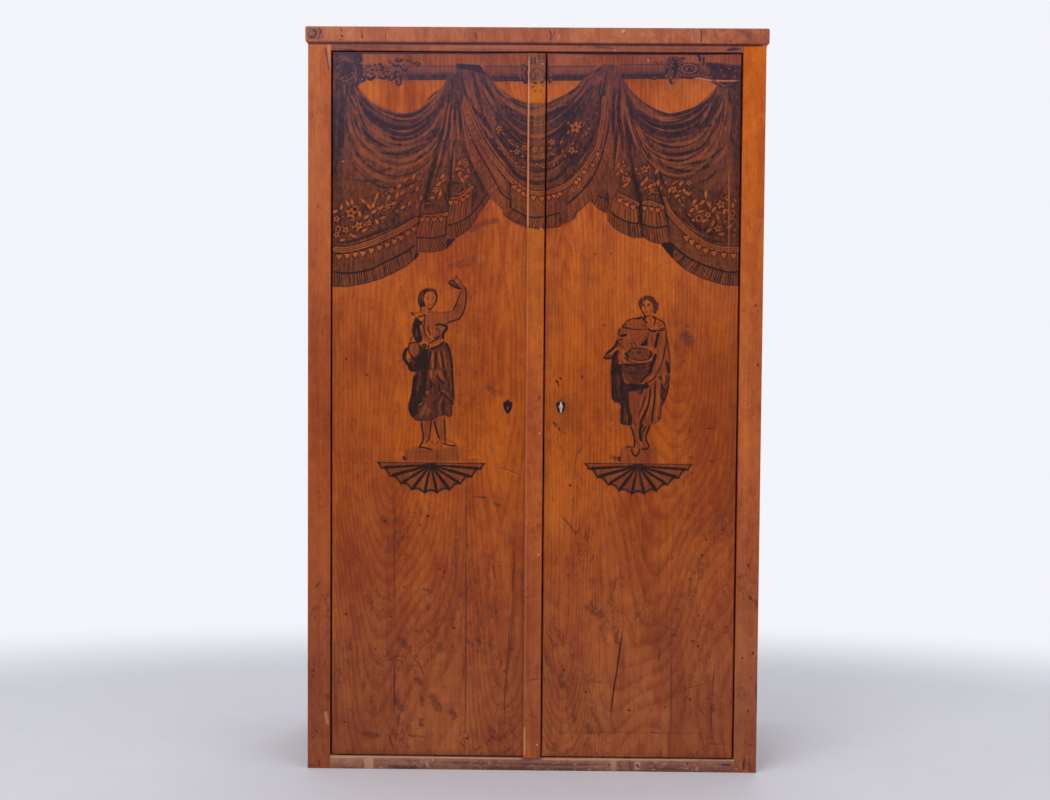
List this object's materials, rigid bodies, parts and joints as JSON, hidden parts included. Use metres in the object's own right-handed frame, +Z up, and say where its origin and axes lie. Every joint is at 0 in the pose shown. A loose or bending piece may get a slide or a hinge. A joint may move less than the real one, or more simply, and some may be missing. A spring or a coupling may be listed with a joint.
{
  "type": "parlour cabinet",
  "caption": "Tall two-door cherry cabinet with penwork drapery and figures on the doors, a keyed lock, slide bolts and loose shelves on sawtooth racks.",
  "frame": {"origin": "on the floor, under the middle of the whole object's box", "axes": "+X to the viewer's right along the front, -Y out of the front where the doors face, +Z up"},
  "size_m": [0.951, 0.4564, 1.541],
  "materials": {
    "door_veneer": "cherry veneer under old shellac",
    "frame_veneer": "cherry veneer, long grain",
    "cap_veneer": "cherry veneer, cross-banded",
    "side_veneer": "cherry veneer",
    "core_wood": "aged softwood, planed",
    "inner_wood": "aged softwood, planed",
    "back_wood": "aged softwood, rough",
    "black_plate": "blackened",
    "iron": "forged, dark",
    "steel": "worn bright",
    "pin_metal": "worn bright"
  },
  "bodies": {
    "carcase": {"back_board_1": "back_wood", "back_board_2": "back_wood", "back_board_3": "back_wood", "back_board_4": "back_wood", "back_nails": "iron", "bearers_left": "inner_wood", "bearers_right": "inner_wood", "bolt_keep_bottom": "iron", "bolt_keep_top": "iron", "bottom_board": "inner_wood", "bottom_rail": "frame_veneer", "cap_board": "cap_veneer", "carcase_screws": "iron", "glue_blocks": "inner_wood", "rack_back_left": "inner_wood", "rack_back_right": "inner_wood", "rack_front_left": "inner_wood", "rack_front_right": "inner_wood", "shelf_1": "inner_wood", "shelf_2": "inner_wood", "shelf_3": "inner_wood", "side_left": "side_veneer", "side_right": "side_veneer", "socket_left_bottom": "iron", "socket_left_top": "iron", "socket_right_bottom": "iron", "socket_right_top": "iron", "stile_left": "frame_veneer", "stile_right": "frame_veneer", "top_batten": "inner_wood", "top_rail": "frame_veneer"},
    "door_left": {"bolt_plate_bottom": "iron", "bolt_plate_top": "iron", "door_left_clamp_bottom": "core_wood", "door_left_clamp_top": "core_wood", "door_left_core": "core_wood", "door_left_screws": "iron", "door_left_veneer": "door_veneer", "escutcheon_left": "black_plate", "lock_keeper": "iron", "meeting_strip": "frame_veneer", "pivot_left_bottom": "iron", "pivot_left_top": "iron", "strip_pins": "pin_metal"},
    "door_right": {"door_right_clamp_bottom": "core_wood", "door_right_clamp_top": "core_wood", "door_right_core": "core_wood", "door_right_screws": "iron", "door_right_veneer": "door_veneer", "escutcheon_right": "black_plate", "lock_cap": "iron", "lock_case": "iron", "pivot_right_bottom": "iron", "pivot_right_top": "iron"},
    "slide_bolt_top": {"slide_bolt_top": "iron"},
    "slide_bolt_bottom": {"slide_bolt_bottom": "iron"},
    "lock_bolt": {"lock_bolt": "iron"},
    "key": {"key": "steel"}
  },
  "joints": [
    {"name": "door_left_hinge", "type": "hinge", "parent": "carcase", "child": "door_left", "pos_m": [-0.412, -0.18075, 0.76], "axis": [0, 0, -1], "range_deg": [0, 95]},
    {"name": "door_right_hinge", "type": "hinge", "parent": "carcase", "child": "door_right", "pos_m": [0.412, -0.18075, 0.76], "axis": [0, 0, 1], "range_deg": [0, 95]},
    {"name": "slide_bolt_top_slide", "type": "slide", "parent": "door_left", "child": "slide_bolt_top", "axis": [0, 0, 1], "range_m": [0, 0.014]},
    {"name": "slide_bolt_bottom_slide", "type": "slide", "parent": "door_left", "child": "slide_bolt_bottom", "axis": [0, 0, -1], "range_m": [0, 0.014]},
    {"name": "key_turn", "type": "hinge", "parent": "door_right", "child": "key", "pos_m": [0.055, -0.18875, 0.7635], "axis": [0, -1, 0], "range_deg": [0, 360]},
    {"name": "lock_bolt_slide", "type": "slide", "parent": "door_right", "child": "lock_bolt", "axis": [-1, 0, 0], "range_m": [0, 0.012]}
  ],
  "couplings": [
    {"joint": "key_turn", "follows": "lock_bolt_slide", "rad_per_m": 523.59}
  ]
}
